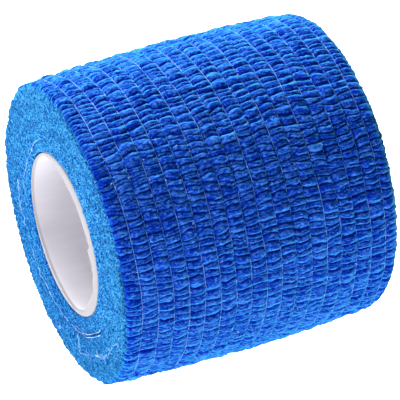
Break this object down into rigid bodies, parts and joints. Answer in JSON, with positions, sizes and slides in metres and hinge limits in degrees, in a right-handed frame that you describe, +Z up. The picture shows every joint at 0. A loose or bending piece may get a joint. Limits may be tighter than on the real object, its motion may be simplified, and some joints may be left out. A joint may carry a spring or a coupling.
{
  "type": "cohesive bandage roll",
  "caption": "Roll of crinkled elastic cohesive bandage wound on a white core tube, lying on its round side.",
  "frame": {"origin": "on the surface that the roll lies on, below the middle of the roll", "axes": "+X along the winding axis, away from the end that the picture shows; +Z up"},
  "size_m": [0.05, 0.0541, 0.053],
  "materials": {
    "crinkled_cloth": "matte crinkled non-woven cloth with fine elastic threads, and pressed fibrous edges at both ends",
    "white_core": "plain white tube, satin inside, with a slightly ragged cut edge"
  },
  "bodies": {
    "root": {"wound_cloth": "crinkled_cloth", "core_tube": "white_core"}
  },
  "joints": []
}
